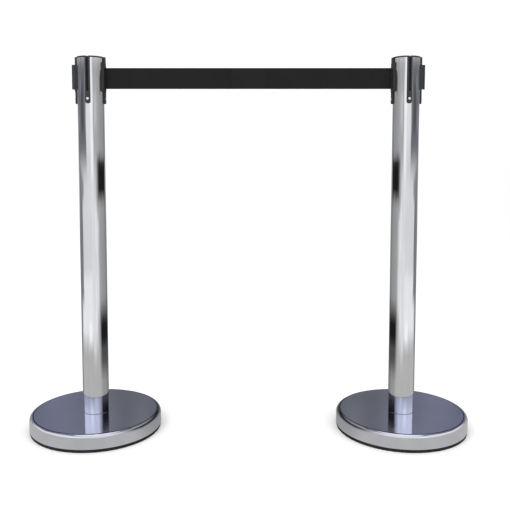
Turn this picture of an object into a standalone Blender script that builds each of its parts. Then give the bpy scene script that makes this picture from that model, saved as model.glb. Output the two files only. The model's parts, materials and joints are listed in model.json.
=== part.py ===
"""A pair of retractable belt stanchions joined by one belt, in metres, +Z up.

The origin is on the floor, half way between the two posts. The left post feeds the belt, and the right
post's inner receiver holds the belt's end clip. Each post is drawn about its own axis: w is the distance
out from that axis in the direction a head piece faces, and u is the distance to its side.
"""

import math

import bmesh
import bpy
from mathutils import Matrix

# Driving dimensions
SPACING = 0.760          # between the two post axes
HEIGHT = 0.910
BASE_RADIUS = 0.160
BASE_TOP = 0.041         # top face of the base cover
TUBE_RADIUS = 0.03175
TUBE_WALL = 0.0012
COVER_WALL = 0.0012
PAD_THICKNESS = 0.007
GAP = 0.0003             # between pieces that touch

BOLT_RADIUS = 0.0060
BOLT_LOW = 0.0100
BOLT_HIGH = 0.0590
BOLT_HEAD_RADIUS = 0.0109
BOLT_HEAD_TOP = 0.0176
WASHER_RADIUS = 0.0130
WASHER_THICKNESS = 0.0018
BOLT_BORE = 0.0065       # clear hole in the cast weight
POCKET_RADIUS = 0.0150   # room under the weight for the bolt head
POCKET_TOP = 0.0200
PLATE_TOP = 0.0180       # the cast weight away from its boss
BOSS_RADIUS = 0.045
PLUG_HEIGHT = 0.020

RAIL_HALF_WIDTH = 0.0058
RAIL_BACK = 0.0239
RAIL_FACE = 0.0360
RAIL_FOOT = 0.798        # lower end of the four rails
RAIL_TOP = HEIGHT - 0.0008
SLOT_FLOOR = 0.827       # where a clip's tongue stops
SCREW_HEIGHT = 0.809
SCREW_SHANK = 0.0014
SCREW_HEAD_RADIUS = 0.0030
SCREW_HEAD_HEIGHT = 0.0016

CORE_RADIUS = 0.0236
CORE_WALL = 0.0026
CORE_FOOT = 0.790
CORE_FLANGE_THICKNESS = 0.006
CAP_BOTTOM = HEIGHT - 0.0032
CAP_SKIRT_FOOT = CAP_BOTTOM - 0.008

BELT_WIDTH = 0.050
BELT_THICKNESS = 0.0008
BELT_CENTRE = HEIGHT - 0.051
BELT_LOW = BELT_CENTRE - BELT_WIDTH / 2
BELT_HIGH = BELT_CENTRE + BELT_WIDTH / 2
DRUM_HUB = 0.0060
DRUM_FLANGE = 0.0193
DRUM_BORE = 0.0033
FLANGE_THICKNESS = 0.002
SPINDLE_RADIUS = 0.0030
LID_LOW, LID_HIGH = 0.8014, 0.8032
SPRING_LOW, SPRING_HIGH = 0.8050, 0.8275
SPRING_START, SPRING_END = 0.0037, 0.0168
SPRING_TURNS = 5
SPRING_THICKNESS = 0.0006
LEFT_ROLL = 0.0147       # radius of the belt still wound in the left head
RIGHT_ROLL = 0.0176      # the right belt is nearly all wound in

BELT_TURN = 0.0245       # w at which the belt straightens on its way out
SLIT_HALF_WIDTH = 0.0018 # the passage through a belt outlet
MOUTH_HALF_WIDTH = 0.0036
MOUTH_BACK = 0.0335

CLIP_LOW, CLIP_HIGH = 0.833, 0.891
CLIP_FACE = 0.0435
PARKED_HALF_WIDTH = 0.0070
PLATE_HALF_WIDTH = 0.0060
PLATE_THICKNESS = 0.0020
TONGUE_HALF_WIDTH = 0.0043
TONGUE_THICKNESS = 0.0023
NECK_HALF_WIDTH = 0.0023
PLAY = 0.0004            # between a clip and its slot

SLOT_BACK, SLOT_SHOULDER = 0.0280, 0.0335
SLOT_HEAD, SLOT_NECK = 0.0046, 0.0026    # half widths
DEEP_SLOT_BACK = 0.0284
SADDLE_HALF_WIDTH = 0.014
SADDLE_LOW, SADDLE_HIGH = SLOT_FLOOR, 0.896

MATERIALS = {            # colour, roughness, metallic
    "chrome": ((0.78, 0.79, 0.82), 0.08, 1.0),
    "black_plastic": ((0.035, 0.037, 0.040), 0.42, 0.0),
    "grey_plastic": ((0.045, 0.050, 0.053), 0.38, 0.0),
    "black_rubber": ((0.015, 0.014, 0.013), 0.75, 0.0),
    "cast_iron": ((0.10, 0.10, 0.10), 0.70, 1.0),
    "zinc_steel": ((0.62, 0.62, 0.60), 0.30, 1.0),
    "spring_steel": ((0.30, 0.31, 0.34), 0.30, 1.0),
    "black_webbing": ((0.019, 0.019, 0.019), 0.85, 0.0),
}


def clear_scene():
    for old in list(bpy.data.objects):
        bpy.data.objects.remove(old, do_unlink=True)


def material(name):
    found = bpy.data.materials.get(name)
    if found:
        return found
    colour, roughness, metallic = MATERIALS[name]
    made = bpy.data.materials.new(name)
    made.use_nodes = True
    shader = made.node_tree.nodes["Principled BSDF"]
    shader.inputs["Base Color"].default_value = (*colour, 1)
    shader.inputs["Roughness"].default_value = roughness
    shader.inputs["Metallic"].default_value = metallic
    made.diffuse_color = (*colour, 1)
    return made


def add(name, bm, mat=None):
    """Makes a smooth-shaded object of a bmesh, facing out."""
    bmesh.ops.remove_doubles(bm, verts=bm.verts, dist=1e-7)
    bmesh.ops.recalc_face_normals(bm, faces=bm.faces)
    mesh = bpy.data.meshes.new(name)
    bm.to_mesh(mesh)
    bm.free()
    mesh.shade_smooth()
    mesh.set_sharp_from_angle(angle=math.radians(32))
    obj = bpy.data.objects.new(name, mesh)
    bpy.context.scene.collection.objects.link(obj)
    if mat:
        mesh.materials.append(material(mat))
    return obj


def turned(profile, segments=48):
    """A closed (radius, height) outline turned about Z. Points on the axis become poles."""
    bm = bmesh.new()
    rings = []
    for radius, height in profile:
        if radius == 0:
            rings.append([bm.verts.new((0, 0, height))] * segments)
            continue
        turn = [2 * math.pi * i / segments for i in range(segments)]
        rings.append([bm.verts.new((radius * math.cos(t), radius * math.sin(t), height)) for t in turn])
    for ring, after in zip(rings, rings[1:] + rings[:1]):
        for i in range(segments):
            j = (i + 1) % segments
            corners = list(dict.fromkeys((ring[i], ring[j], after[j], after[i])))
            if len(corners) > 2:
                bm.faces.new(corners)
    return bm


def prism(outline, low, high):
    """An (x, y) outline raised from low to high."""
    bm = bmesh.new()
    face = bm.faces.new([bm.verts.new((x, y, low)) for x, y in outline])
    raised = bmesh.ops.extrude_face_region(bm, geom=[face])["geom"]
    for vert in raised:
        if isinstance(vert, bmesh.types.BMVert):
            vert.co.z = high
    return bm


def block(w, u, z):
    """A box between two limits in each direction."""
    return prism([(w[0], u[0]), (w[1], u[0]), (w[1], u[1]), (w[0], u[1])], *z)


def facing(bm):
    """Turns a prism raised in Z so that it is raised outwards: x becomes u, y becomes height."""
    swap = Matrix(((0, 0, 1, 0), (1, 0, 0, 0), (0, 1, 0, 0), (0, 0, 0, 1)))
    bmesh.ops.transform(bm, matrix=swap, verts=bm.verts)
    return bm


def arc(cx, cy, radius, start, end, steps):
    angles = [math.radians(start + (end - start) * i / steps) for i in range(steps + 1)]
    return [(cx + radius * math.cos(a), cy + radius * math.sin(a)) for a in angles]


def combine(obj, other, operation):
    """Boolean modifier with a hidden helper that keeps the object's own place."""
    modifier = obj.modifiers.new(other.name, "BOOLEAN")
    modifier.operation = operation
    modifier.solver = "EXACT"
    modifier.object = other
    other.hide_render = True
    other.display_type = "WIRE"
    other.parent = obj


def cut(obj, bm):
    combine(obj, add(f"{obj.name}_cutter{len(obj.modifiers)}", bm), "DIFFERENCE")


def join(obj, bm):
    combine(obj, add(f"{obj.name}_addition{len(obj.modifiers)}", bm), "UNION")


def place(obj, axis, turn=0.0):
    """Stands a piece on a post's axis, facing the given way, and parents it to that axis."""
    obj.parent = axis
    obj.rotation_euler.z = math.radians(turn)
    return obj


def axis_empty(name, x):
    empty = bpy.data.objects.new(name, None)
    empty.empty_display_size = 0.05
    empty.location.x = x
    bpy.context.scene.collection.objects.link(empty)
    return empty


# Base

def base_pieces(side, post):
    pad_edge = BASE_RADIUS - 0.0008
    pad = [(0, 0), (pad_edge - 0.0015, 0), (pad_edge, 0.0015), (pad_edge, PAD_THICKNESS - 0.0012),
           (pad_edge - 0.0012, PAD_THICKNESS), (0, PAD_THICKNESS)]
    place(add(f"{side}_rubber_pad", turned(pad), "black_rubber"), post)

    low = PAD_THICKNESS + GAP
    bend = 0.008
    hole = 0.007
    shoulder = BASE_RADIUS - bend
    outer = arc(shoulder, BASE_TOP - bend, bend, 90, 0, 4)
    inner = arc(shoulder, BASE_TOP - bend, bend - COVER_WALL, 0, 90, 2)
    cover = ([(hole, BASE_TOP)] + outer + [(BASE_RADIUS, low), (BASE_RADIUS - COVER_WALL, low)]
             + inner + [(hole, BASE_TOP - COVER_WALL)])
    place(add(f"{side}_base_cover", turned(cover), "chrome"), post)

    boss_top = BASE_TOP - COVER_WALL - GAP
    rim = BASE_RADIUS - COVER_WALL - 0.003
    chamfer = 0.003
    weight = [(BOLT_BORE, boss_top), (BOSS_RADIUS, boss_top), (BOSS_RADIUS + 0.015, PLATE_TOP + 0.002),
              (rim - chamfer, PLATE_TOP), (rim, PLATE_TOP - chamfer), (rim, low), (POCKET_RADIUS, low),
              (POCKET_RADIUS, POCKET_TOP), (BOLT_BORE, POCKET_TOP)]
    place(add(f"{side}_base_weight", turned(weight, 32), "cast_iron"), post)

    washer_top = POCKET_TOP - GAP
    washer_low = washer_top - WASHER_THICKNESS
    washer_bore = BOLT_RADIUS + 0.0004
    washer = [(washer_bore, washer_top), (WASHER_RADIUS, washer_top), (WASHER_RADIUS, washer_low),
              (washer_bore, washer_low)]
    place(add(f"{side}_bolt_washer", turned(washer, 16), "zinc_steel"), post)

    head = [(0, BOLT_LOW), (BOLT_HEAD_RADIUS, BOLT_LOW), (BOLT_HEAD_RADIUS, BOLT_HEAD_TOP),
            (0, BOLT_HEAD_TOP)]
    point = 0.0010
    shank = [(0, BOLT_LOW + 0.002), (BOLT_RADIUS, BOLT_LOW + 0.002), (BOLT_RADIUS, BOLT_HIGH - point),
             (BOLT_RADIUS - point, BOLT_HIGH), (0, BOLT_HIGH)]
    bolt = add(f"{side}_tie_bolt", turned(head, 6), "zinc_steel")
    join(bolt, turned(shank, 16))
    place(bolt, post)


# Post

def rail_outline(half_width, foot, top):
    """The front view of a rail, (u, height), with a rounded lower end."""
    radius = half_width * 0.75
    left = arc(-half_width + radius, foot + radius, radius, 180, 270, 4)
    right = arc(half_width - radius, foot + radius, radius, 270, 360, 4)
    return [(-half_width, top)] + left + right + [(half_width, top)]


def tube_piece(side, post):
    inside = TUBE_RADIUS - TUBE_WALL
    low, high = BASE_TOP + GAP, CAP_BOTTOM - GAP
    wall = [(TUBE_RADIUS, high), (TUBE_RADIUS, low), (inside, low), (inside, high)]
    tube = add(f"{side}_post_tube", turned(wall), "chrome")
    slot = rail_outline(RAIL_HALF_WIDTH + GAP, RAIL_FOOT - GAP, HEIGHT + 0.01)
    for turn in (0, 90, 180, 270):
        cutter = facing(prism(slot, 0.015, 0.050))
        bmesh.ops.rotate(cutter, verts=cutter.verts, matrix=Matrix.Rotation(math.radians(turn), 3, "Z"))
        cut(tube, cutter)
    place(tube, post)

    plug_radius = inside - GAP
    bore = BOLT_RADIUS + GAP
    top = low + PLUG_HEIGHT
    plug = [(bore, top), (plug_radius - 0.001, top), (plug_radius, top - 0.001), (plug_radius, low),
            (bore, low)]
    place(add(f"{side}_foot_plug", turned(plug, 24), "zinc_steel"), post)


# Head

def screw_hole(reach_in):
    """A cutter for a rail's screw, lying along w."""
    bm = bmesh.new()
    bmesh.ops.create_cone(bm, cap_ends=True, segments=8, radius1=SCREW_SHANK + GAP,
                          radius2=SCREW_SHANK + GAP, depth=0.05)
    bmesh.ops.rotate(bm, verts=bm.verts, matrix=Matrix.Rotation(math.pi / 2, 3, "Y"))
    bmesh.ops.translate(bm, verts=bm.verts, vec=(reach_in + 0.025, 0, SCREW_HEIGHT))
    return bm


def screw_piece(name, post, turn):
    """A dome-headed screw through a rail's foot into the core."""
    head_low = RAIL_FACE + GAP
    wide, tall = SCREW_HEAD_RADIUS, SCREW_HEAD_HEIGHT
    dome = [(wide * math.cos(a), head_low + tall * math.sin(a)) for a in (0, 0.5, 1.0)]
    crown = head_low + SCREW_HEAD_HEIGHT
    tip = CORE_RADIUS - CORE_WALL + 0.0005
    profile = [(0, crown)] + dome[::-1] + [(SCREW_SHANK, head_low), (SCREW_SHANK, tip), (0, tip)]
    bm = turned(profile, 12)
    bmesh.ops.rotate(bm, verts=bm.verts, matrix=Matrix.Rotation(math.pi / 2, 3, "Y"))
    bmesh.ops.translate(bm, verts=bm.verts, vec=(0, 0, SCREW_HEIGHT))
    place(add(name, bm, "zinc_steel"), post, turn)


def rail_body(name, saddle):
    """A rail that passes out through the tube's slot, with a saddle on the tube if it has one."""
    outline = rail_outline(RAIL_HALF_WIDTH, RAIL_FOOT, RAIL_TOP)
    rail = add(name, facing(prism(outline, RAIL_BACK, RAIL_FACE)), "black_plastic")
    if saddle:
        edge = SADDLE_HALF_WIDTH
        back = math.degrees(math.asin(edge / (TUBE_RADIUS + GAP)))
        face = RAIL_FACE - 0.0002
        corner = 0.004
        rounded = arc(face - corner, edge - corner, corner, 0, 90, 4)
        inner = arc(0, 0, TUBE_RADIUS + GAP, back, -back, 8)
        outline = [(x, -y) for x, y in rounded[::-1]] + rounded + inner
        join(rail, prism(outline, SADDLE_LOW, SADDLE_HIGH))
    cut(rail, screw_hole(RAIL_BACK - 0.005))
    return rail


def t_outline(back, shoulder, front, head_half, neck_half):
    """A T lying along w: its head from back to shoulder, its neck from there to front."""
    return [(back, -head_half), (shoulder, -head_half), (shoulder, -neck_half), (front, -neck_half),
            (front, neck_half), (shoulder, neck_half), (shoulder, head_half), (back, head_half)]


def receiver_piece(name, post, turn):
    """A rail with a T slot, open at the top, that a belt's end clip slides down into."""
    rail = rail_body(name, saddle=False)
    slot = t_outline(SLOT_BACK, SLOT_SHOULDER, RAIL_FACE + 0.004, SLOT_HEAD, SLOT_NECK)
    cut(rail, prism(slot, SLOT_FLOOR, HEIGHT + 0.01))
    place(rail, post, turn)


def belt_receiver_piece(name, post, turn):
    """The receiver that faces the other post: a saddle on the tube, and a deep slot for the clip."""
    rail = rail_body(name, saddle=True)
    shoulder = DEEP_SLOT_BACK + TONGUE_THICKNESS + 2 * PLAY
    slot = t_outline(DEEP_SLOT_BACK, shoulder, RAIL_FACE + 0.004, TONGUE_HALF_WIDTH + PLAY,
                     NECK_HALF_WIDTH + PLAY)
    cut(rail, prism(slot, SLOT_FLOOR, HEIGHT + 0.01))
    window = PLATE_HALF_WIDTH + PLAY
    behind = RAIL_FACE - PLATE_THICKNESS - PLAY
    cut(rail, block((behind, 0.045), (-window, window), (SLOT_FLOOR, HEIGHT + 0.01)))
    place(rail, post, turn)


def outlet_piece(name, post, turn, saddle):
    """The rail that the post's own belt comes out of."""
    rail = rail_body(name, saddle)
    slit, slit_play = SLIT_HALF_WIDTH, 0.0015
    cut(rail, block((0.015, 0.045), (-slit, slit), (BELT_LOW - slit_play, BELT_HIGH + slit_play)))
    mouth, mouth_play = MOUTH_HALF_WIDTH, 0.0035
    cut(rail, block((MOUTH_BACK, 0.045), (-mouth, mouth), (BELT_LOW - mouth_play, BELT_HIGH + mouth_play)))
    place(rail, post, turn)


def core_pieces(side, post, outlet_turn):
    """The moulded core in the tube's top, and the cap over it."""
    inner = CORE_RADIUS - CORE_WALL
    flange = TUBE_RADIUS - TUBE_WALL - GAP
    flange_top = CORE_FOOT + CORE_FLANGE_THICKNESS
    floor_top = CORE_FOOT + 0.008
    bore = SPINDLE_RADIUS + GAP
    wall = [(inner, CAP_BOTTOM - GAP), (CORE_RADIUS, CAP_BOTTOM - GAP), (CORE_RADIUS, flange_top),
            (flange, flange_top), (flange, CORE_FOOT), (bore, CORE_FOOT), (bore, floor_top),
            (inner, floor_top)]
    core = add(f"{side}_head_core", turned(wall, 28), "black_plastic")
    mouth = block((0.010, 0.030), (-0.006, 0.006), (BELT_LOW - 0.003, BELT_HIGH + 0.003))
    bmesh.ops.rotate(mouth, verts=mouth.verts, matrix=Matrix.Rotation(math.radians(outlet_turn), 3, "Z"))
    cut(core, mouth)
    for turn in (0, 90, 180, 270):
        hole = screw_hole(0.015)
        bmesh.ops.rotate(hole, verts=hole.verts, matrix=Matrix.Rotation(math.radians(turn), 3, "Z"))
        cut(core, hole)
    place(core, post)

    edge = TUBE_RADIUS + 0.0004
    skirt = inner - GAP
    chamfer = 0.0010
    plate = [(0, HEIGHT), (edge - chamfer, HEIGHT), (edge, HEIGHT - chamfer), (edge, CAP_BOTTOM),
             (skirt, CAP_BOTTOM), (skirt, CAP_SKIRT_FOOT), (0, CAP_SKIRT_FOOT)]
    cap = add(f"{side}_top_cap", turned(plate), "black_plastic")
    for turn in (0, 90, 180, 270):
        notch = block((RAIL_BACK - GAP, 0.045), (-RAIL_HALF_WIDTH - GAP, RAIL_HALF_WIDTH + GAP),
                      (CAP_BOTTOM - 0.001, HEIGHT + 0.01))
        bmesh.ops.rotate(notch, verts=notch.verts, matrix=Matrix.Rotation(math.radians(turn), 3, "Z"))
        cut(cap, notch)
    place(cap, post)


# Cassette

def cassette_pieces(side, post, roll_radius):
    """The fixed spindle, and the drum, spring and wound belt about it."""
    foot, top = CORE_FOOT + 0.0005, CAP_SKIRT_FOOT - GAP
    spindle = [(0, foot), (SPINDLE_RADIUS, foot), (SPINDLE_RADIUS, top), (0, top)]
    place(add(f"{side}_spindle", turned(spindle, 16), "zinc_steel"), post)

    spool = axis_empty(f"{side}_spool_axis", 0)
    spool.parent = post
    upper, lower = BELT_HIGH + 0.0015, BELT_LOW - 0.0015
    upper_top, lower_foot = upper + FLANGE_THICKNESS, lower - FLANGE_THICKNESS
    skirt_foot = LID_HIGH + GAP
    skirt_inside = DRUM_FLANGE - 0.0017
    drum = [(DRUM_BORE, upper_top), (DRUM_FLANGE, upper_top), (DRUM_FLANGE, upper), (DRUM_HUB, upper),
            (DRUM_HUB, lower), (DRUM_FLANGE, lower), (DRUM_FLANGE, skirt_foot), (skirt_inside, skirt_foot),
            (skirt_inside, lower_foot), (DRUM_BORE, lower_foot)]
    place(add(f"{side}_drum", turned(drum, 24), "grey_plastic"), spool)

    lid = [(DRUM_BORE, LID_HIGH), (DRUM_FLANGE, LID_HIGH), (DRUM_FLANGE, LID_LOW), (DRUM_BORE, LID_LOW)]
    place(add(f"{side}_spring_lid", turned(lid, 24), "zinc_steel"), spool)

    roll = [(DRUM_HUB + GAP, BELT_HIGH), (roll_radius, BELT_HIGH), (roll_radius, BELT_LOW),
            (DRUM_HUB + GAP, BELT_LOW)]
    place(add(f"{side}_belt_roll", turned(roll, 28), "black_webbing"), spool)

    place(add(f"{side}_mainspring", spring_strip(), "spring_steel"), post)


def spring_strip():
    """A flat spiral strip wound from its start radius out to its end radius."""
    low, high = SPRING_LOW, SPRING_HIGH
    steps = SPRING_TURNS * 12
    inner, outer = [], []
    for i in range(steps + 1):
        angle = 2 * math.pi * SPRING_TURNS * i / steps
        near = SPRING_START + (SPRING_END - SPRING_START) * i / steps
        far = near + SPRING_THICKNESS
        inner.append((near * math.cos(angle), near * math.sin(angle)))
        outer.append((far * math.cos(angle), far * math.sin(angle)))
    bm = bmesh.new()
    rings = []
    for near, far in zip(inner, outer):
        rings.append([bm.verts.new((*near, low)), bm.verts.new((*far, low)),
                      bm.verts.new((*far, high)), bm.verts.new((*near, high))])
    for ring, after in zip(rings, rings[1:]):
        for i in range(4):
            j = (i + 1) % 4
            bm.faces.new((ring[i], ring[j], after[j], after[i]))
    bm.faces.new(rings[0])
    bm.faces.new(rings[-1][::-1])
    return bm


# Belts and clips

def belt_strip(roll_radius, end):
    """A flat strip along w from the wound belt, out of the head's mouth, to its end."""
    reach = roll_radius + GAP + BELT_THICKNESS / 2
    touch = math.acos(reach / BELT_TURN)
    start = (reach * math.cos(touch), reach * math.sin(touch))
    slope = math.atan2(-start[1], BELT_TURN - start[0])
    half = BELT_THICKNESS / 2
    across = (-math.sin(slope) * half, math.cos(slope) * half)
    mitre = half * math.tan(slope / 2)
    outline = [(start[0] - across[0], start[1] - across[1]), (BELT_TURN + mitre, -half), (end, -half),
               (end, half), (BELT_TURN - mitre, half), (start[0] + across[0], start[1] + across[1])]
    return prism(outline, BELT_LOW, BELT_HIGH)


def mirrored(points):
    """Closes an outline along w with its reflection in u."""
    return points + [(w, -u) for w, u in points[::-1]]


def stowed_clip(name, post, turn):
    """An end clip drawn home against its own outlet, with its T tongue outwards."""
    plate_back = RAIL_FACE + GAP
    plate_face = plate_back + PLATE_THICKNESS
    tongue_back = CLIP_FACE - TONGUE_THICKNESS
    outline = mirrored([(plate_back, PLATE_HALF_WIDTH), (plate_face, PLATE_HALF_WIDTH),
                        (plate_face, NECK_HALF_WIDTH), (tongue_back, NECK_HALF_WIDTH),
                        (tongue_back, TONGUE_HALF_WIDTH), (CLIP_FACE, TONGUE_HALF_WIDTH)])
    place(add(name, prism(outline, CLIP_LOW, CLIP_HIGH), "grey_plastic"), post, turn)


def docked_clip(name, post, turn):
    """An end clip down in its receiver, with a tab above it to lift it by."""
    tongue_back = DEEP_SLOT_BACK + PLAY
    tongue_face = tongue_back + TONGUE_THICKNESS
    plate_back = RAIL_FACE - PLATE_THICKNESS
    outline = mirrored([(tongue_back, TONGUE_HALF_WIDTH), (tongue_face, TONGUE_HALF_WIDTH),
                        (tongue_face, NECK_HALF_WIDTH), (plate_back, NECK_HALF_WIDTH),
                        (plate_back, PLATE_HALF_WIDTH), (RAIL_FACE, PLATE_HALF_WIDTH)])
    place(add(name, prism(outline, SLOT_FLOOR + GAP, RAIL_TOP - 0.001), "black_plastic"), post, turn)


def parked_clip(name, post, turn):
    """An end clip hung in the outer receiver, its body standing out from the rail."""
    chamfer = 0.0015
    outline = mirrored([(RAIL_FACE + GAP, PARKED_HALF_WIDTH), (CLIP_FACE - chamfer, PARKED_HALF_WIDTH),
                        (CLIP_FACE, PARKED_HALF_WIDTH - chamfer)])
    clip = add(name, prism(outline, CLIP_LOW, CLIP_HIGH), "grey_plastic")
    tongue = t_outline(SLOT_BACK + PLAY, SLOT_SHOULDER - PLAY, RAIL_FACE + 0.002, SLOT_HEAD - PLAY,
                       SLOT_NECK - PLAY)
    join(clip, prism(tongue, SLOT_FLOOR + GAP, CLIP_HIGH - 0.002))
    place(clip, post, turn)


def common_pieces(side, post, outlet_turn, roll_radius):
    base_pieces(side, post)
    tube_piece(side, post)
    core_pieces(side, post, outlet_turn)
    cassette_pieces(side, post, roll_radius)
    receiver_piece(f"{side}_receiver_front", post, -90)
    receiver_piece(f"{side}_receiver_back", post, 90)
    for name, turn in (("front", -90), ("back", 90), ("left", 180), ("right", 0)):
        screw_piece(f"{side}_screw_{name}", post, turn)


def main():
    clear_scene()
    left = axis_empty("left_post_axis", -SPACING / 2)
    right = axis_empty("right_post_axis", SPACING / 2)

    common_pieces("left", left, 0, LEFT_ROLL)
    outlet_piece("left_belt_outlet", left, 0, saddle=True)
    receiver_piece("left_receiver_outer", left, 180)
    parked_clip("left_parked_clip", left, 180)

    common_pieces("right", right, 0, RIGHT_ROLL)
    belt_receiver_piece("right_belt_receiver", right, 180)
    docked_clip("left_belt_clip", right, 180)
    outlet_piece("right_belt_outlet", right, 0, saddle=False)
    stowed_clip("right_belt_clip", right, 0)

    span = SPACING - RAIL_FACE - GAP
    place(add("left_belt", belt_strip(LEFT_ROLL, span), "black_webbing"), left)
    place(add("right_belt", belt_strip(RIGHT_ROLL, RAIL_FACE), "black_webbing"), right)


main()
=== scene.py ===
"""The looks of a pair of retractable belt stanchions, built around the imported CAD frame.

Each post stands at its own axis. On every post, w is the distance out from the axis in the direction a head
piece faces, and u the distance to its side. The reflections in the chrome come from a round tent of soft
panels that stands about each post; only glossy rays see it.
"""
import json
import math

import bmesh
import bpy
from mathutils import Matrix, Vector, noise


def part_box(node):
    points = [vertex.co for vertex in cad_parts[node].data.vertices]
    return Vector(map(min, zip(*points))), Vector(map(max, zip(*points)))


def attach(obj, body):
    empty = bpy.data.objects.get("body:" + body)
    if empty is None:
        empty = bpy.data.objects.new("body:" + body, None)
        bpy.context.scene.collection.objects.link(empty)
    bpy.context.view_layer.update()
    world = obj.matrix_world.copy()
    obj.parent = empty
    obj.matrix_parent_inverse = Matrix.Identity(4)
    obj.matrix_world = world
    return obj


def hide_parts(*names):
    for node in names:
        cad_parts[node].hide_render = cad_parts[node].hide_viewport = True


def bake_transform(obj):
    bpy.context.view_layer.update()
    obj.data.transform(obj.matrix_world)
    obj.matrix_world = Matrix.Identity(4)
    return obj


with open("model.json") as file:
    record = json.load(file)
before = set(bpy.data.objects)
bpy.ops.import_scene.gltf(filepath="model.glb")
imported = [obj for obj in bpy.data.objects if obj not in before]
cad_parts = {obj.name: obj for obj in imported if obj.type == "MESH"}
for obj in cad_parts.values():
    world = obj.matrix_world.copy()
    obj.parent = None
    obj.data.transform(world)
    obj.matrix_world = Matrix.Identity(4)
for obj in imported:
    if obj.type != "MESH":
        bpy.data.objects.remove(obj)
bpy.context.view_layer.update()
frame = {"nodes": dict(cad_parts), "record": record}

nodes = frame["nodes"]
GAP = 0.0003


def mid(side, axis=0):
    low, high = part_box(f"{side}_post_tube")
    return (low[axis] + high[axis]) / 2


AXIS = {side: mid(side) for side in ("left", "right")}
INNER = {"left": 1, "right": -1}           # the way to the other post, along X
BODY = {"left": "left_post", "right": "right_post"}
tube_low, tube_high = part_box("left_post_tube")
cover_low, cover_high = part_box("left_base_cover")
pad_low, pad_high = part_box("left_rubber_pad")
cap_low, cap_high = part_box("left_top_cap")
rail_low, rail_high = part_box("left_receiver_front")
belt_low, belt_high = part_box("left_belt")
TUBE_RADIUS = (tube_high[0] - tube_low[0]) / 2
BASE_RADIUS = (cover_high[0] - cover_low[0]) / 2
PAD_RADIUS = (pad_high[0] - pad_low[0]) / 2
BASE_TOP = cover_high[2]
HEIGHT = cap_high[2]
RAIL_HALF = (rail_high[0] - rail_low[0]) / 2
RAIL_BACK, RAIL_FACE = -rail_high[1], -rail_low[1]
CAP_BOTTOM = HEIGHT - 0.0032
TUBE_WALL = 0.0012
QUARTERS = (0, 90, 180, 270)               # the four ways that a head's rails face
SHARP_ANGLE = 32                           # edges bent by more than this many degrees stay sharp

BELT_THICKNESS = 0.0009
BELT_STEP = 0.006                          # between the rows of points along a belt
LIFT_RUN = 0.20                            # of belt before the right post, made as a piece of its own
WARP_PITCH, WEFT_PITCH = 0.0013, 0.0009

LENS = 49.34
SHIFT = (0.0127, -0.100)
FULL_REACH = 1.22                          # upper limit of post_spacing


# Small shader helpers

def new_material(name, colour, roughness, metallic=0.0):
    made = bpy.data.materials.new(name)
    made.use_nodes = True
    shader = made.node_tree.nodes["Principled BSDF"]
    shader.inputs["Base Color"].default_value = (*colour, 1)
    shader.inputs["Roughness"].default_value = roughness
    shader.inputs["Metallic"].default_value = metallic
    return made, made.node_tree, shader


def add_node(tree, kind, **inputs):
    made = tree.nodes.new(kind)
    for name, value in inputs.items():
        made.inputs[name.replace("_", " ")].default_value = value
    return made


def object_space(tree, scale=(1, 1, 1)):
    """The piece's own coordinates, in metres times the scale."""
    place = tree.nodes.new("ShaderNodeTexCoord")
    mapping = add_node(tree, "ShaderNodeMapping", Scale=scale)
    tree.links.new(place.outputs["Object"], mapping.inputs["Vector"])
    return mapping.outputs["Vector"]


def noise_of(tree, vector, scale, detail=3.0, roughness=0.55):
    made = add_node(tree, "ShaderNodeTexNoise", Scale=scale, Detail=detail, Roughness=roughness)
    tree.links.new(vector, made.inputs["Vector"])
    return made.outputs["Fac"]


def spread(tree, value, low, high, start=0.3, stop=0.7):
    """Maps a texture's start to stop onto low to high."""
    made = add_node(tree, "ShaderNodeMapRange", From_Min=start, From_Max=stop, To_Min=low, To_Max=high)
    tree.links.new(value, made.inputs["Value"])
    return made.outputs["Result"]


def tint(tree, value, dark, light, start=0.3, stop=0.7):
    """A colour that runs from dark to light with a texture."""
    ramp = tree.nodes.new("ShaderNodeValToRGB")
    ramp.color_ramp.elements[0].position, ramp.color_ramp.elements[1].position = start, stop
    ramp.color_ramp.elements[0].color, ramp.color_ramp.elements[1].color = (*dark, 1), (*light, 1)
    tree.links.new(value, ramp.inputs["Fac"])
    return ramp.outputs["Color"]


def math_of(tree, operation, first, second=None):
    made = tree.nodes.new("ShaderNodeMath")
    made.operation = operation
    for socket, value in zip(made.inputs, (first, second)):
        if isinstance(value, (int, float)):
            socket.default_value = value
        elif value is not None:
            tree.links.new(value, socket)
    return made.outputs["Value"]


def bumped(tree, shader, height, strength, distance):
    bump = add_node(tree, "ShaderNodeBump", Strength=strength, Distance=distance)
    tree.links.new(height, bump.inputs["Height"])
    if shader.inputs["Normal"].links:
        tree.links.new(shader.inputs["Normal"].links[0].from_socket, bump.inputs["Normal"])
    tree.links.new(bump.outputs["Normal"], shader.inputs["Normal"])


# Materials

def polished_tube():
    """Chrome plate on drawn tube: long faint draw lines, cloudy polish and a few wiped marks."""
    made, tree, shader = new_material("chrome_tube", (0.88, 0.89, 0.91), 0.05, 1.0)
    along = object_space(tree, (1, 1, 0.02))
    cloud = noise_of(tree, object_space(tree), 9, 4)
    lines = noise_of(tree, along, 900, 2)
    tree.links.new(spread(tree, cloud, 0.035, 0.085), shader.inputs["Roughness"])
    tree.links.new(tint(tree, cloud, (0.84, 0.85, 0.88), (0.90, 0.91, 0.92)), shader.inputs["Base Color"])
    bumped(tree, shader, lines, 0.06, 0.0001)
    bumped(tree, shader, noise_of(tree, object_space(tree, (1, 1, 0.25)), 24, 2), 0.20, 0.0009)
    return made


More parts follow.
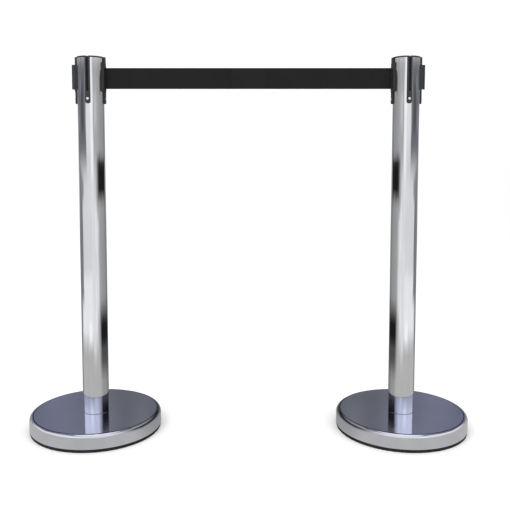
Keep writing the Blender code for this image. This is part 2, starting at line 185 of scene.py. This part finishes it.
def spun_chrome():
    """Chrome plate on spun steel: a wavy sheet with fine scuffs, and a painted bluish reflection tinted
    onto its flat top.
    """
    made, tree, shader = new_material("chrome_base", (0.83, 0.85, 0.91), 0.06, 1.0)
    place = object_space(tree)
    cloud = noise_of(tree, place, 7, 4)
    scuffs = noise_of(tree, object_space(tree, (1, 6, 1)), 160, 5, 0.7)
    polish = spread(tree, cloud, 0.03, 0.09)
    worn = math_of(tree, "ADD", polish, spread(tree, scuffs, 0.0, 0.10, 0.60, 0.80))
    tree.links.new(worn, shader.inputs["Roughness"])
    height = tree.nodes.new("ShaderNodeSeparateXYZ")
    tree.links.new(place, height.inputs["Vector"])
    # Painted reflection: the flat top's colour is multiplied by blue, standing in for a bluish reflection
    # seen in it.
    top_reflection_tint = tree.nodes.new("ShaderNodeMix")
    top_reflection_tint.data_type, top_reflection_tint.blend_type = "RGBA", "MULTIPLY"
    plate, top_reflection_colour = [socket for socket in top_reflection_tint.inputs if socket.type == "RGBA"]
    top_reflection_mask = spread(tree, height.outputs["Z"], 0.0, 1.0, BASE_TOP - 0.003, BASE_TOP - 0.0004)
    tree.links.new(top_reflection_mask, top_reflection_tint.inputs["Factor"])
    tree.links.new(tint(tree, cloud, (0.79, 0.81, 0.88), (0.87, 0.88, 0.92)), plate)
    top_reflection_colour.default_value = (0.75, 0.78, 1.0, 1)
    with_top_reflection = next(socket for socket in top_reflection_tint.outputs if socket.type == "RGBA")
    tree.links.new(with_top_reflection, shader.inputs["Base Color"])
    bumped(tree, shader, noise_of(tree, place, 13, 2), 0.30, 0.0018)
    bumped(tree, shader, scuffs, 0.04, 0.0001)
    return made


def moulded(name, colour, roughness):
    """Moulded plastic: fine grain, uneven gloss, and paler rubbed patches."""
    made, tree, shader = new_material(name, colour, roughness)
    place = object_space(tree)
    cloud = noise_of(tree, place, 45, 4)
    light = tuple(1.35 * c for c in colour)
    dark = tuple(0.80 * c for c in colour)
    tree.links.new(tint(tree, cloud, dark, light), shader.inputs["Base Color"])
    tree.links.new(spread(tree, cloud, roughness - 0.07, roughness + 0.07), shader.inputs["Roughness"])
    bumped(tree, shader, noise_of(tree, place, 1600, 2), 0.25, 0.0001)
    return made


def foot_rubber():
    made, tree, shader = new_material("rubber", (0.014, 0.013, 0.012), 0.8)
    place = object_space(tree)
    dust = noise_of(tree, place, 60, 6, 0.7)
    tree.links.new(tint(tree, dust, (0.009, 0.009, 0.009), (0.026, 0.024, 0.021), 0.42, 0.75),
                   shader.inputs["Base Color"])
    tree.links.new(spread(tree, dust, 0.70, 0.92), shader.inputs["Roughness"])
    bumped(tree, shader, noise_of(tree, place, 900, 3), 0.3, 0.0002)
    return made


def webbing():
    """Plain-woven webbing: warp ribs along the belt, crossed by the weft."""
    made, tree, shader = new_material("webbing", (0.019, 0.019, 0.020), 0.85)
    shader.inputs["Specular IOR Level"].default_value = 0.2
    shader.inputs["Sheen Weight"].default_value = 0.03
    shader.inputs["Sheen Roughness"].default_value = 0.5
    place = object_space(tree)
    split = tree.nodes.new("ShaderNodeSeparateXYZ")
    tree.links.new(place, split.inputs["Vector"])
    warp = math_of(tree, "SINE", math_of(tree, "MULTIPLY", split.outputs["Z"], 2 * math.pi / WARP_PITCH))
    weft = math_of(tree, "SINE", math_of(tree, "MULTIPLY", split.outputs["X"], 2 * math.pi / WEFT_PITCH))
    weave = math_of(tree, "MULTIPLY", warp, weft)
    fibre = noise_of(tree, object_space(tree, (0.3, 1, 3)), 700, 3)
    cloud = noise_of(tree, place, 14, 3)
    # Painted shade in the weave's dips, mixed with random tone of the yarn: the colour is darker where the
    # weave is low.
    weave_shade_and_tone = math_of(tree, "ADD", math_of(tree, "MULTIPLY", weave, 0.10), math_of(tree, "ADD",
                    math_of(tree, "MULTIPLY", cloud, 0.5), math_of(tree, "MULTIPLY", fibre, 0.5)))
    tree.links.new(tint(tree, weave_shade_and_tone, (0.0075, 0.0073, 0.0073), (0.0125, 0.0121, 0.0121)),
                   shader.inputs["Base Color"])
    tree.links.new(spread(tree, weave_shade_and_tone, 0.78, 0.92), shader.inputs["Roughness"])
    bumped(tree, shader, weave, 0.5, 0.00012)
    bumped(tree, shader, fibre, 0.25, 0.0001)
    return made


def bare_metal(name, dark, light, roughness, scale, bump, metallic=1.0):
    made, tree, shader = new_material(name, light, roughness, metallic)
    grain = noise_of(tree, object_space(tree), scale, 5, 0.6)
    tree.links.new(tint(tree, grain, dark, light), shader.inputs["Base Color"])
    tree.links.new(spread(tree, grain, roughness - 0.08, roughness + 0.10), shader.inputs["Roughness"])
    bumped(tree, shader, grain, bump, 0.0003)
    return made


MATERIAL = {
    "tube": polished_tube(),
    "chrome": spun_chrome(),
    "black_plastic": moulded("black_plastic", (0.017, 0.018, 0.019), 0.44),
    "deep_plastic": moulded("deep_plastic", (0.0085, 0.009, 0.0095), 0.50),
    "grey_plastic": moulded("grey_plastic", (0.024, 0.027, 0.029), 0.40),
    "black_rubber": foot_rubber(),
    "black_webbing": webbing(),
    "cast_iron": bare_metal("cast_iron", (0.05, 0.05, 0.05), (0.16, 0.15, 0.14), 0.65, 220, 0.6),
    "zinc_steel": bare_metal("zinc_steel", (0.84, 0.85, 0.84), (0.95, 0.95, 0.94), 0.34, 400, 0.08, 0.6),
    "spring_steel": bare_metal("spring_steel", (0.18, 0.20, 0.26), (0.36, 0.38, 0.44), 0.28, 300, 0.05),
}


# Small mesh helpers

def smoothed(mesh):
    mesh.shade_smooth()
    mesh.set_sharp_from_angle(angle=math.radians(SHARP_ANGLE))


def add(name, bm, body, slot, material=None, replaces=()):
    """Makes a smooth-shaded piece of a bmesh, and gives it its material when a body is named."""
    bmesh.ops.recalc_face_normals(bm, faces=bm.faces)
    mesh = bpy.data.meshes.new(name)
    bm.to_mesh(mesh)
    bm.free()
    smoothed(mesh)
    obj = bpy.data.objects.new(name, mesh)
    bpy.context.scene.collection.objects.link(obj)
    if body:
        mesh.materials.append(MATERIAL[material or slot])
        if replaces:
            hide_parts(*replaces)
    return obj


def turned(profile, segments, centre=(0, 0)):
    """A closed (radius, height) outline turned about an upright axis."""
    bm = bmesh.new()
    rings = []
    for radius, height in profile:
        if radius == 0:
            rings.append([bm.verts.new((*centre, height))] * segments)
            continue
        turns = [2 * math.pi * i / segments for i in range(segments)]
        rings.append([
            bm.verts.new((centre[0] + radius * math.cos(t), centre[1] + radius * math.sin(t), height))
            for t in turns
        ])
    for ring, after in zip(rings, rings[1:] + rings[:1]):
        for i in range(segments):
            j = (i + 1) % segments
            corners = list(dict.fromkeys((ring[i], ring[j], after[j], after[i])))
            if len(corners) > 2:
                bm.faces.new(corners)
    return bm


def arc(cx, cy, radius, start, end, steps):
    angles = [math.radians(start + (end - start) * i / steps) for i in range(steps + 1)]
    return [(cx + radius * math.cos(a), cy + radius * math.sin(a)) for a in angles]


def prism(outline, low, high):
    bm = bmesh.new()
    face = bm.faces.new([bm.verts.new((x, y, low)) for x, y in outline])
    raised = bmesh.ops.extrude_face_region(bm, geom=[face])["geom"]
    for vert in raised:
        if isinstance(vert, bmesh.types.BMVert):
            vert.co.z = high
    return bm


def moved(bm, matrix):
    bmesh.ops.transform(bm, matrix=matrix, verts=bm.verts)
    return bm


def outwards(turn, x):
    """From (w, u, height) to the row frame, for a post's axis at x and a head piece that faces that way."""
    return Matrix.Translation((x, 0, 0)) @ Matrix.Rotation(math.radians(turn), 4, "Z")


def cut(obj, bm):
    """Takes the bmesh's shape out of the object for good."""
    tool = add(f"{obj.name}_cutter", bm, None, None)
    modifier = obj.modifiers.new("cut", "BOOLEAN")
    modifier.operation, modifier.solver, modifier.object = "DIFFERENCE", "EXACT", tool
    apply_modifiers(obj)
    bpy.data.objects.remove(tool, do_unlink=True)


def apply_modifiers(obj):
    graph = bpy.context.evaluated_depsgraph_get()
    mesh = bpy.data.meshes.new_from_object(obj.evaluated_get(graph))
    old = obj.data
    obj.modifiers.clear()
    obj.data = mesh
    bpy.data.meshes.remove(old)


def softened(obj, width, segments=2):
    """Rounds an object's sharp edges without changing its own mesh."""
    bevel = obj.modifiers.new("soft_edges", "BEVEL")
    bevel.width, bevel.segments, bevel.limit_method = width, segments, "ANGLE"
    bevel.angle_limit = math.radians(40)
    bevel.harden_normals = True


# Base

def base_looks(side):
    x = AXIS[side]
    body = BODY[side]
    low = cover_low[2]
    bend = 0.010
    shoulder = BASE_RADIUS - bend
    lip = 0.0012
    outer = ([(0.007, BASE_TOP - 0.0008), (0.0078, BASE_TOP)]
             + [(0.030 + 0.0305 * i, BASE_TOP) for i in range(5)]
             + arc(shoulder, BASE_TOP - bend, bend, 90, 0, 12)
             + [(BASE_RADIUS, low + 0.0006), (BASE_RADIUS - 0.0005, low)])
    inner = [(BASE_RADIUS - lip, low)] + arc(shoulder, BASE_TOP - bend, bend - lip, 0, 90, 8) + \
            [(0.007, BASE_TOP - lip)]
    shell = add(f"{side}_base_shell", turned(outer + inner, 192, (x, 0)), body, "chrome",
                replaces=(f"{side}_base_cover",))
    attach(shell, body)

    top = pad_high[2]
    groove = [(PAD_RADIUS - 0.0006, top - 0.0022), (PAD_RADIUS - 0.0011, top - 0.0030),
              (PAD_RADIUS - 0.0006, top - 0.0038)]
    edge = ([(0, 0), (PAD_RADIUS - 0.0300, 0), (PAD_RADIUS - 0.0016, 0)]
            + arc(PAD_RADIUS - 0.0015, 0.0015, 0.0015, -90, 0, 4) + groove[::-1]
            + arc(PAD_RADIUS - 0.0010, top - 0.0010, 0.0010, 0, 90, 4) + [(0, top)])
    pad = add(f"{side}_foot_ring", turned(edge, 160, (x, 0)), body, "black_rubber",
              replaces=(f"{side}_rubber_pad",))
    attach(pad, body)


# Post

def rail_outline(half_width, foot, top, steps=8):
    radius = half_width * 0.75
    left = arc(-half_width + radius, foot + radius, radius, 180, 270, steps)
    right = arc(half_width - radius, foot + radius, radius, 270, 360, steps)
    return [(-half_width, top)] + left + right + [(half_width, top)]


def facing(outline, near, far):
    """An (u, height) outline made into a solid from near to far along w."""
    onto_side = Matrix(((0, 0, 1, 0), (1, 0, 0, 0), (0, 1, 0, 0), (0, 0, 0, 1)))
    return moved(prism(outline, near, far), onto_side)


def tube_looks(side):
    x = AXIS[side]
    body = BODY[side]
    low, high = tube_low[2], tube_high[2]
    inside = TUBE_RADIUS - TUBE_WALL
    heights = [low + 0.0006] + [low + (high - low) * i / 24 for i in range(1, 24)] + [high - 0.0003]
    outer = [(TUBE_RADIUS, z) for z in heights]
    wall = ([(TUBE_RADIUS - 0.0005, low)] + outer + [(TUBE_RADIUS - 0.0003, high)]
            + [(inside, high), (inside, low)])
    tube = add(f"{side}_tube_skin", turned(wall, 160, (x, 0)), body, "chrome", "tube",
               replaces=(f"{side}_post_tube",))
    slot = rail_outline(RAIL_HALF + GAP, rail_low[2] - GAP, HEIGHT + 0.01)
    for turn in QUARTERS:
        cut(tube, moved(facing(slot, 0.015, 0.050), outwards(turn, x)))
    smoothed(tube.data)
    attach(tube, body)


# Head

def cap_looks(side):
    x = AXIS[side]
    body = BODY[side]
    edge = (cap_high[0] - cap_low[0]) / 2 + 0.0008
    skirt = 0.0207
    dish = 0.0009
    plate = ([(0, HEIGHT - dish), (0.0135, HEIGHT - dish), (0.0145, HEIGHT - 0.0001), (0.0150, HEIGHT)]
             + arc(edge - 0.0010, HEIGHT - 0.0010, 0.0010, 90, 0, 5)
             + [(edge, CAP_BOTTOM), (skirt, CAP_BOTTOM)]
             + [(skirt, CAP_BOTTOM - 0.008), (0, CAP_BOTTOM - 0.008)])
    cap = add(f"{side}_cap_cover", turned(plate, 128, (x, 0)), body, "black_plastic",
              replaces=(f"{side}_top_cap",))
    for turn in QUARTERS:
        near, half = RAIL_BACK - GAP, RAIL_HALF + GAP
        notch = prism([(near, -half), (0.05, -half), (0.05, half), (near, half)],
                      CAP_BOTTOM - 0.001, HEIGHT + 0.01)
        cut(cap, moved(notch, outwards(turn, x)))
    smoothed(cap.data)
    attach(cap, body)


def screw_looks(side):
    """Pan-head screws with a cross recess."""
    x = AXIS[side]
    body = BODY[side]
    for name, turn in (("front", -90), ("back", 90), ("left", 180), ("right", 0)):
        low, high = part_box(f"{side}_screw_{name}")
        height = (low[2] + high[2]) / 2
        radius = (high[2] - low[2]) / 2
        seat = RAIL_FACE + GAP
        turns = [0.15 * i for i in range(11)]
        dome = [(radius * math.cos(a), seat + 0.0003 + 0.0014 * math.sin(a)) for a in turns]
        shank = [(radius, seat), (0.0014, seat), (0.0014, 0.0215), (0, 0.0215)]
        profile = [(0, seat + 0.0017)] + dome[::-1] + shank
        upright = Matrix.Translation((0, 0, height)) @ Matrix.Rotation(math.pi / 2, 4, "Y")
        along = outwards(turn, x) @ upright
        screw = add(f"{side}_screw_head_{name}", moved(turned(profile, 40), along), body, "zinc_steel",
                    replaces=(f"{side}_screw_{name}",))
        for spin in (0.4, 0.4 + math.pi / 2):
            arm = prism([(-0.0004, -0.0017), (0.0004, -0.0017), (0.0004, 0.0017), (-0.0004, 0.0017)],
                        seat + 0.0008, seat + 0.004)
            cut(screw, moved(arm, along @ Matrix.Rotation(spin, 4, "Z")))
        smoothed(screw.data)
        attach(screw, body)


# Belts

def webbing_strip(path, low, high, thickness):
    """A belt along an (x, y) path. Its section has warp ribs and a rolled selvedge at both edges."""
    ribs, across = 20, 80
    half = thickness / 2
    width = high - low
    section = []
    for i in range(across + 1):
        part = i / across
        z = low + width * part
        from_edge = min(part, 1 - part) * width
        round_edge = math.sqrt(max(0.0, 1 - (1 - min(from_edge / 0.0008, 1)) ** 2))
        selvedge = 0.18 * math.exp(-((from_edge - 0.0012) / 0.0008) ** 2)
        rib = 0.10 * math.cos(2 * math.pi * ribs * part)
        section.append((z, half * (0.25 + 0.75 * round_edge) * (0.82 + rib * 0.6 + selvedge)))
    bm = bmesh.new()
    rows = []
    for i, (x, y) in enumerate(path):
        before, after = path[max(i - 1, 0)], path[min(i + 1, len(path) - 1)]
        ahead = Vector((after[0] - before[0], after[1] - before[1])).normalized()
        side = Vector((-ahead.y, ahead.x))
        front = [bm.verts.new((x - side.x * t, y - side.y * t, z)) for z, t in section]
        back = [bm.verts.new((x + side.x * t, y + side.y * t, z)) for z, t in section]
        rows.append(front + back[::-1])
    count = len(rows[0])
    for row, after in zip(rows, rows[1:]):
        for i in range(count):
            j = (i + 1) % count
            bm.faces.new((row[i], row[j], after[j], after[i]))
    bm.faces.new(rows[0][::-1])
    bm.faces.new(rows[-1])
    return bm


def spaced_path(corners, step):
    path = [corners[0]]
    for start, end in zip(corners, corners[1:]):
        length = math.dist(start, end)
        count = max(1, round(length / step))
        for i in range(1, count + 1):
            path.append(tuple(a + (b - a) * i / count for a, b in zip(start, end)))
    return path


def head_run(x, roll_radius):
    """Where the belt runs inside a head: from the wound belt to where it turns out through the mouth."""
    turn_w = 0.0245
    outside = roll_radius + 0.0007
    touch = math.acos(outside / turn_w)
    return [(x + outside * math.cos(touch), outside * math.sin(touch)), (x + turn_w, 0.0)]


def belt_looks():
    thickness = BELT_THICKNESS
    roll = (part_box("left_belt_roll")[1][0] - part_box("left_belt_roll")[0][0]) / 2
    start = head_run(AXIS["left"], roll)
    joint = AXIS["right"] - LIFT_RUN
    end = belt_high[0]
    low, high = belt_low[2], belt_high[2]
    long_path = spaced_path(start + [(joint, 0.0)], BELT_STEP)
    long_belt = add("joining_belt", webbing_strip(long_path, low, high, thickness), BODY["left"],
                    "black_webbing", replaces=("left_belt",))
    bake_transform(long_belt)

    end_path = spaced_path([(joint, 0.0), (end, 0.0)], BELT_STEP)
    end_belt = add("joining_belt_end", webbing_strip(end_path, low, high, thickness), BODY["right"],
                   "black_webbing", replaces=("left_belt",))
    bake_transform(end_belt)

    roll = (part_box("right_belt_roll")[1][0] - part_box("right_belt_roll")[0][0]) / 2
    stub_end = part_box("right_belt")[1][0]
    stub_path = spaced_path(head_run(AXIS["right"], roll) + [(stub_end, 0.0)], BELT_STEP / 10)
    stub = add("stowed_belt", webbing_strip(stub_path, low, high, thickness), BODY["right"],
               "black_webbing", replaces=("right_belt",))
    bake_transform(stub)


# Given a darker black plastic than the other head pieces
DEEP_PIECES = ("left_belt_outlet", "right_belt_receiver", "left_belt_clip")


def carried_over():
    """Gives every CAD node that stays its material, and rounds the moulded edges."""
    slot_of = {part["node"]: part["material_slot"] for part in frame["record"]["subparts"]}
    for name, obj in nodes.items():
        slot = slot_of[name]
        for place in obj.material_slots:
            place.material = MATERIAL["deep_plastic" if name in DEEP_PIECES else slot]
        if any(word in name for word in ("receiver", "outlet", "clip")):
            softened(obj, 0.0004)


# Surroundings

def soft_step(value, edge, softness):
    t = min(max((value - edge) / softness + 0.5, 0.0), 1.0)
    return t * t * (3 - 2 * t)


def panel_mask(azimuth, height, panel):
    start, stop, low, high, softness, tall_softness = panel
    across = soft_step(azimuth, start, softness) * (1 - soft_step(azimuth, stop, softness))
    up = soft_step(height, low, tall_softness) * (1 - soft_step(height, high, tall_softness))
    return across * up


# Each panel of a tent: (start, stop) in degrees from the camera's side towards the other post, (low, high)
# in metres, how soft its edges are in degrees and metres, and the light that it gives off.
PANELS = [
    ((20, 118, -0.1, 1.4, 70, 0.1), (0.33, 0.33, 0.33)),
    ((-10, 60, -0.1, 1.4, 44, 0.1), (0.43, 0.43, 0.43)),
    ((-118, 30, 0.10, 0.64, 22, 0.14), (0.72, 0.72, 0.73)),
    ((-10, 44, 0.22, 0.50, 20, 0.07), (0.76, 0.76, 0.76)),
    ((-12, 6, 0.41, 0.51, 10, 0.05), (0.62, 0.62, 0.63)),
    ((16, 30, 0.39, 0.53, 10, 0.06), (0.86, 0.86, 0.86)),
    ((-128, 46, -0.3, 0.105, 34, 0.07), (0.50, 0.495, 0.485)),
    ((-112, 22, 0.155, 0.330, 16, 0.05), (0.87, 0.87, 0.89)),
    ((-10, 4, 0.110, 0.205, 9, 0.04), (0.70, 0.70, 0.71)),
    ((-142, -94, 0.25, 0.63, 12, 0.06), (0.21, 0.21, 0.22)),
    ((-118, -80, 0.550, 0.615, 22, 0.04), (0.26, 0.26, 0.27)),
    ((-140, -52, 0.71, 1.4, 22, 0.12), (0.15, 0.155, 0.165)),
    ((-92, -66, 0.745, 0.87, 16, 0.05), (0.08, 0.085, 0.09)),
    ((-122, -108, 0.740, 0.80, 9, 0.04), (0.26, 0.27, 0.29)),
    ((-104, -88, 0.845, 0.90, 12, 0.04), (0.22, 0.23, 0.26)),
    ((-46, -10, 0.60, 1.4, 14, 0.30), (0.80, 0.80, 0.81)),
    ((-10, 12, 0.10, 1.4, 8, 0.14), (0.80, 0.80, 0.81)),
    ((-10, 11, 0.62, 1.4, 8, 0.10), (0.97, 0.97, 0.98)),
    ((22, 44, 0.755, 0.85, 12, 0.06), (0.56, 0.56, 0.56)),
    ((-48, -20, 0.135, 0.190, 10, 0.03), (1.0, 1.0, 1.0)),
    ((40, 128, 0.545, 0.668, 18, 0.04), (0.11, 0.11, 0.11)),
    ((52, 122, 0.562, 0.655, 12, 0.02), (0.012, 0.012, 0.012)),
    ((50, 142, 0.050, 0.235, 30, 0.07), (0.08, 0.08, 0.08)),
    ((56, 136, 0.128, 0.205, 14, 0.03), (0.012, 0.012, 0.012)),
    ((-200, -138, 0.50, 1.6, 14, 0.14), (0.50, 0.50, 0.54)),
    ((138, 200, 0.50, 1.6, 14, 0.14), (0.34, 0.34, 0.37)),
    ((-200, 200, 0.97, 1.6, 10, 0.12), (1.05, 1.05, 1.12)),
]
OUTER_WALL = (0.213, 0.213, 0.235)     # seen in the base top
INNER_WALL = (0.195, 0.196, 0.184)
UPPER_WALL = (0.175, 0.178, 0.190)


def tent_light(azimuth, height):
    """The colour of a tent's wall: soft panels laid over a grey wall, with uneven edges."""
    ragged = noise.noise(Vector((azimuth / 9, height * 14, 3.1)))
    colour = Vector(INNER_WALL).lerp(Vector(OUTER_WALL), soft_step(azimuth % 360, 180, 50))
    colour = colour.lerp(Vector(UPPER_WALL), soft_step(height, 0.6, 0.3))
    colour *= 1 + 0.22 * noise.noise(Vector((azimuth / 11, height * 9, 5.5)))
    for panel, light in PANELS:
        mask = panel_mask(azimuth + 4 * ragged, height + 0.018 * ragged, panel)
        colour = colour.lerp(Vector(light), mask)
    return colour * (1 + 0.06 * noise.noise(Vector((azimuth / 14, height * 3, 7.7))))


def glowing(name):
    """A material that gives off the mesh's own colour on its front, and is clear from behind."""
    made = bpy.data.materials.new(name)
    made.use_nodes = True
    tree = made.node_tree
    tree.nodes.clear()
    colour = tree.nodes.new("ShaderNodeVertexColor")
    colour.layer_name = "light"
    emit = add_node(tree, "ShaderNodeEmission", Strength=1.0)
    out = tree.nodes.new("ShaderNodeOutputMaterial")
    seen = tree.nodes.new("ShaderNodeNewGeometry")
    clear = tree.nodes.new("ShaderNodeBsdfTransparent")
    mix = tree.nodes.new("ShaderNodeMixShader")
    tree.links.new(colour.outputs["Color"], emit.inputs["Color"])
    tree.links.new(seen.outputs["Backfacing"], mix.inputs["Fac"])
    tree.links.new(emit.outputs["Emission"], mix.inputs[1])
    tree.links.new(clear.outputs["BSDF"], mix.inputs[2])
    tree.links.new(mix.outputs["Shader"], out.inputs["Surface"])
    return made


def only_glossy(obj):
    obj.visible_camera = obj.visible_diffuse = obj.visible_shadow = False
    obj.visible_transmission = obj.visible_volume_scatter = False


def tent(name, x, inner, radius=0.34, top=1.30, around=180, up=70):
    """A round wall of soft panels about a post, and the ring of floor inside it, for glossy rays only."""
    to_camera = math.degrees(math.atan2(abs(x), -CAMERA[1]))
    bm = bmesh.new()
    light = bm.loops.layers.float_color.new("light")
    shades = {}

    def corner(azimuth, r, z, colour):
        turn = math.radians(azimuth + to_camera)
        vert = bm.verts.new((x + inner * r * math.sin(turn), -r * math.cos(turn), z))
        shades[vert] = (*colour, 1)
        return vert

    columns = [-180 + 360 * i / around for i in range(around)]
    rows = [[corner(a, radius, top * k / up, tent_light(a, top * k / up)) for a in columns]
            for k in range(up + 1)]
    ring = [[corner(a, r, 0.0008, tent_light(a, 0.0)) for a in columns] for r in (PAD_RADIUS, radius)]
    for near, far in list(zip(rows, rows[1:])) + [tuple(ring)]:
        for i in range(around):
            j = (i + 1) % around
            face = bm.faces.new((near[i], near[j], far[j], far[i]))
            face.normal_update()
            inwards = Vector((x, 0, 1)) - face.calc_center_median()
            if face.normal.dot(inwards) < 0:
                face.normal_flip()
            for loop in face.loops:
                loop[light] = shades[loop.vert]
    mesh = bpy.data.meshes.new(name)
    bm.to_mesh(mesh)
    bm.free()
    mesh.materials.append(glowing(f"{name}_light"))
    wall = bpy.data.objects.new(name, mesh)
    bpy.context.scene.collection.objects.link(wall)
    only_glossy(wall)


def floor():
    bm = bmesh.new()
    bmesh.ops.create_circle(bm, cap_ends=True, radius=30, segments=96)
    mesh = bpy.data.meshes.new("floor")
    bm.to_mesh(mesh)
    bm.free()
    made, tree, shader = new_material("pale_floor", (0.95, 0.95, 0.95), 0.9)
    shader.inputs["Specular IOR Level"].default_value = 0.0
    cloud = noise_of(tree, object_space(tree), 1.5, 2)
    tree.links.new(tint(tree, cloud, (0.945, 0.945, 0.945), (0.96, 0.96, 0.96)),
                   shader.inputs["Base Color"])
    mesh.materials.append(made)
    obj = bpy.data.objects.new("floor", mesh)
    bpy.context.scene.collection.objects.link(obj)


def soft_light(name, place, target, size, power):
    data = bpy.data.lights.new(name, "AREA")
    data.shape, data.size, data.energy = "DISK", size, power
    obj = bpy.data.objects.new(name, data)
    obj.location = place
    obj.rotation_euler = (Vector(target) - Vector(place)).to_track_quat("-Z", "Y").to_euler()
    obj.visible_glossy = False
    bpy.context.scene.collection.objects.link(obj)


def studio():
    world = bpy.data.worlds.new("studio")
    world.use_nodes = True
    world.node_tree.nodes["Background"].inputs["Color"].default_value = (1, 1, 1, 1)
    world.node_tree.nodes["Background"].inputs["Strength"].default_value = 1.06
    bpy.context.scene.world = world
    soft_light("key", (-1.6, -2.2, 2.4), (0, 0, 0.4), 1.6, 26)
    soft_light("fill", (2.0, -1.6, 1.8), (0, 0, 0.5), 1.8, 12)
    bpy.context.scene.view_settings.view_transform = "Standard"


CAMERA = (0.0, -1.70, 0.6884)
PITCH = 4.445


def camera():
    data = bpy.data.cameras.new("camera")
    data.lens, data.sensor_width = LENS, 36
    data.shift_x, data.shift_y = SHIFT
    obj = bpy.data.objects.new("camera", data)
    obj.location = CAMERA
    obj.rotation_euler.x = math.radians(90 - PITCH)
    bpy.context.scene.collection.objects.link(obj)
    bpy.context.scene.camera = obj


camera()
for side in ("left", "right"):
    base_looks(side)
    tube_looks(side)
    cap_looks(side)
    screw_looks(side)
    tent(f"{side}_tent", AXIS[side], INNER[side])
tent("far_tent", AXIS["right"] + FULL_REACH, -1)      # for the right post at the belt's full reach
belt_looks()
carried_over()
floor()
studio()
